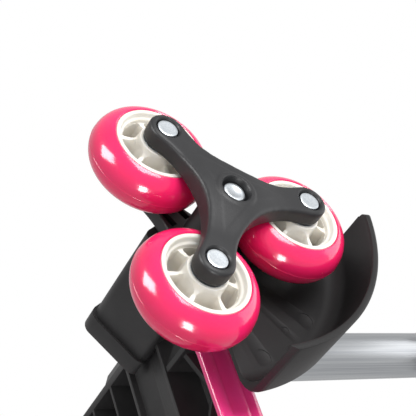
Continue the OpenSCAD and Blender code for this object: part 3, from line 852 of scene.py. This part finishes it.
def make_guard():
    start = (GUARD_CENTER.x, GUARD_LOW.y, GUARD_CENTER.z)
    shell = turned("left_guard_moulding", guard_section(), start, steps=84, angle=98, start=86)
    back, low = AXLE.x - 79.2 * MM, AXLE.z + 2.6 * MM
    front = math.radians(97.8)
    far = GUARD_CENTER + Vector((math.cos(front), 0, math.sin(front))) * 1.5 * GUARD_R
    foot = mm((-40, 11), (1.0, 9), (1.6, 6.4), (3.0, 3.6), (5.4, 1.3), (9, 0))
    keep = [(back + x, low + z) for x, z in foot]
    keep += [(AXLE.x - 24 * MM, low)]
    keep += [(AXLE.x + x, AXLE.z + z) for x, z in mm((-18, -2), (12, -2), (16, 30))]
    keep += [(far.x, far.z), (back - 60 * MM, far.z)]
    keep_inside(shell, prism("mask", upright(keep, GUARD_LOW.y - MM), Vector((0, GUARD_DEPTH + 2 * MM, 0))))
    # The arch's front end has a round outer corner
    tip, edge = GUARD_CENTER.x - 11.8 * MM, GUARD_HIGH.y
    round_r = 6 * MM
    nip = [(tip + 4 * MM, edge - round_r), (tip + 4 * MM, edge + MM), (tip - round_r, edge + MM)]
    nip += arc((tip - round_r, edge - round_r), round_r, 90, 0, 9)
    cut(shell, prism("nip", [(x, y, AXLE.z + 60 * MM) for x, y in nip], Vector((0, 0, 40 * MM))))
    hole = rod("hole", (AXLE.x, GUARD_LOW.y, AXLE.z), 9.4 * MM, 8 * MM)
    cut(shell, hole)
    for x, z, radius in ((-59.8, 18.1, 4.3), (-39, 51.4, 4.3), (-44.9, 37.1, 2.0)):
        mark = rod("mark", (AXLE.x + x * MM, GUARD_LOW.y + 3.4 * MM, AXLE.z + z * MM), radius * MM, 2.6 * MM)
        cut(shell, mark)
    return soften(shell, 0.85 * MM, 3, 40)


both_sides(make_guard(), "guard_black", "frame", "guard", 40)

# ---------------------------------------------------------------- moulded frame parts

SLOTS = {row["node"]: row["material_slot"] for row in frame["record"]["subparts"]}


def refined(node, width, segments=2, angle=35, name=None):
    """A merged copy of a CAD part whose edges get a moulding radius."""
    pick(frame["nodes"][node])
    bpy.ops.object.duplicate()
    piece = bpy.context.object
    piece.name = name or f"{node}_moulding"
    piece.parent = None
    for key in list(piece.keys()):
        if key.startswith("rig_"):
            del piece[key]
    edit()
    bpy.ops.mesh.remove_doubles(threshold=2e-6)
    bpy.ops.mesh.dissolve_limited(angle_limit=math.radians(0.5))
    bpy.ops.mesh.normals_make_consistent(inside=False)
    leave()
    if width:
        modify(piece, "BEVEL", width=width, segments=segments, limit_method="ANGLE",
               angle_limit=math.radians(angle), use_clamp_overlap=True, miter_outer="MITER_ARC")
    return piece


def body_of(node):
    for body, members in frame["record"]["behaviour"]["bodies"].items():
        if node in members:
            return body


SOFT_EDGES = {
    "chassis": 0.45, "stem_socket": 1.6, "clamp_collar": 1.2, "clamp_lever": 0.9, "bar_tee": 1.2,
    "rear_yoke": 0.8, "brake_plate": 0.5, "lower_tube": 0.4, "upper_tube": 0.4, "crossbar": 0.4,
    "clamp_bolt": 0.4, "kingpin": 0.5, "truck_bush": 0.9, "rear_axle": 0.35, "brake_pin": 0.3,
    "left_axle_box": 0.9, "right_axle_box": 0.9,
}


def refine_rest():
    for node, radius in SOFT_EDGES.items():
        dressed(refined(node, radius * MM), SLOTS[node], body_of(node), node, smooth=40)


refine_rest()

# ---------------------------------------------------------------- deck

DECK_LOW, DECK_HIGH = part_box("deck_shell")
DECK_FRONT = DECK_HIGH.x
DECK_LEN = DECK_HIGH.x - DECK_LOW.x
DECK_HALF = DECK_HIGH.y
REAR_HALF = 70 * MM
TAPER_START = 96 * MM
TAPER_LEN = DECK_LEN * 0.55
FRONT_ROUND = 14 * MM
REAR_ROUND = 30 * MM
DECK_STEPS = 56


def round_end(half, along, radius):
    if along >= radius:
        return half
    return half - radius + math.sqrt(max(radius * radius - (radius - along) ** 2, 0))


def deck_half(along):
    """Half the deck's width at a distance behind its front edge."""
    return DECK_HALF + (REAR_HALF - DECK_HALF) * smooth((along - TAPER_START) / TAPER_LEN)


def deck_outline(inset, z):
    """The deck's outline moved in by inset, seen from above, at a height."""
    edge = []
    for step in range(DECK_STEPS + 1):
        along = DECK_LEN * (0.5 - 0.5 * math.cos(math.pi * step / DECK_STEPS))
        half = deck_half(along)
        front = round_end(half, along, FRONT_ROUND)
        rear = round_end(half, DECK_LEN - along, REAR_ROUND)
        x = min(max(DECK_FRONT - along, DECK_LOW.x + inset), DECK_FRONT - inset)
        edge.append((x, min(front, rear) - inset))
    return [(x, y, z) for x, y in edge] + [(x, -y, z) for x, y in reversed(edge)]


def make_deck_shell():
    low, top = DECK_LOW.z, DECK_HIGH.z
    side = mm((2.2, 0), (1.0, 0.05), (0.3, 0.5), (0.1, 1.4), (0.1, 5.8), (0.5, 6.6), (0.5, 7.4), (0.0, 8.4),
              (0.0, 15.2), (0.5, 16.2), (0.5, 17.0), (0.1, 17.9), (0.2, 20.6), (0.6, 22.2), (1.4, 23.4),
              (2.6, 24.1), (4.2, 24.4))
    shell = skin("deck_shell_moulding", [deck_outline(inset, low + up) for inset, up in side])
    outward(shell)
    cut(shell, prism("hollow", deck_outline(3 * MM, low - MM), Vector((0, 0, 22.4 * MM))))
    cut(shell, prism("pocket", deck_outline(12 * MM, top - 0.8 * MM), Vector((0, 0, 3 * MM))))
    ceiling = top - 3.1 * MM
    gap = block("gap", (DECK_FRONT - 8 * MM, -112 * MM, low - 0.02), (DECK_FRONT + 0.02, 112 * MM, ceiling))
    cut(shell, gap)
    upright_mount = rod("upright_mount", (DECK_LOW.x + 6 * MM, 0, low), 15.4 * MM, 40 * MM, "Z")
    mount = copied(upright_mount, "mount", turn_about((DECK_LOW.x + 6 * MM, 0, low - 7 * MM), 28))
    bpy.data.objects.remove(upright_mount)
    lid = block("lid", (DECK_LOW.x - 0.05, -0.05, ceiling), (DECK_LOW.x + 0.08, 0.05, top + 0.05))
    cut(mount, lid)
    return cut(shell, mount)


def make_mat():
    """A rubber mat with raised ribs across it."""
    low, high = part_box("grip_mat")
    base = prism("grip_mat_rubber", deck_outline(12.4 * MM, low.z), Vector((0, 0, 0.9 * MM)))
    parts = [base]
    x = DECK_FRONT - 26 * MM
    while x > DECK_LOW.x + 26 * MM:
        along = DECK_FRONT - x
        half = deck_half(along) - 22 * MM
        half = min(half, round_end(half, DECK_LEN - along, REAR_ROUND))
        bar = block("bar", (x - 1.6 * MM, -half, low.z + 0.7 * MM), (x + 1.6 * MM, half, high.z))
        parts.append(soften(bar, 0.5 * MM, 2))
        x -= 9 * MM
    return together("grip_mat_rubber", parts)


dressed(make_deck_shell(), "deck_pink", "frame", "deck_shell", smooth=50)
dressed(make_mat(), "mat_black", "frame", "grip_mat")

# ---------------------------------------------------------------- grips, screws and spring

def make_grip():
    """A soft sleeve with raised rings between its flange and its round end."""
    low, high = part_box("left_grip")
    mid = (low + high) / 2
    parts = [refined("left_grip", 0.9 * MM, 3, name="left_grip_sleeve")]
    for row in range(15):
        deselect()
        ring_y = low.y + (9 + 5 * row) * MM
        bpy.ops.mesh.primitive_torus_add(location=(mid.x, ring_y, mid.z), rotation=(math.pi / 2, 0, 0),
                                         major_radius=15.0 * MM, minor_radius=0.95 * MM,
                                         major_segments=64, minor_segments=10)
        parts.append(seat(bpy.context.object))
    return together("left_grip_sleeve", parts)


def make_spring():
    """A wire wound round the brake pin."""
    low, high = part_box("brake_spring")
    mid = (low + high) / 2
    wire = 0.62 * MM
    reach = (high.x - low.x) / 2 - wire
    climb = high.y - low.y - 2 * wire
    turns, sides = 8, 10
    steps = 24 * turns
    foot = (mid.x, low.y + wire, mid.z)
    deselect()
    bpy.ops.mesh.primitive_circle_add(vertices=sides, radius=wire, location=(mid.x + reach, *foot[1:]),
                                      fill_type="NGON")
    spring = seat(bpy.context.object)
    spring.name = "brake_spring_coil"
    edit()
    bpy.ops.mesh.spin(steps=steps, dupli=False, angle=2 * math.pi * turns, center=foot, axis=(0, 1, 0))
    leave()
    for number, vertex in enumerate(spring.data.vertices):
        vertex.co.y += climb * (number // sides) / steps
    return outward(spring)


both_sides(make_grip(), "grip_pink", "handlebar", "grip", 50)
dressed(refined("deck_screws", 0.6 * MM, 3), "steel_zinc", "frame", "deck_screws")
dressed(make_spring(), "steel_zinc", "rear_truck", "brake_spring", smooth=60)

# ---------------------------------------------------------------- the rest keeps its CAD shape

def paint_rest():
    for name, node in frame["nodes"].items():
        if node.hide_render:
            continue
        node.data.materials.clear()
        node.data.materials.append(LOOK[SLOTS[name]].material)


paint_rest()
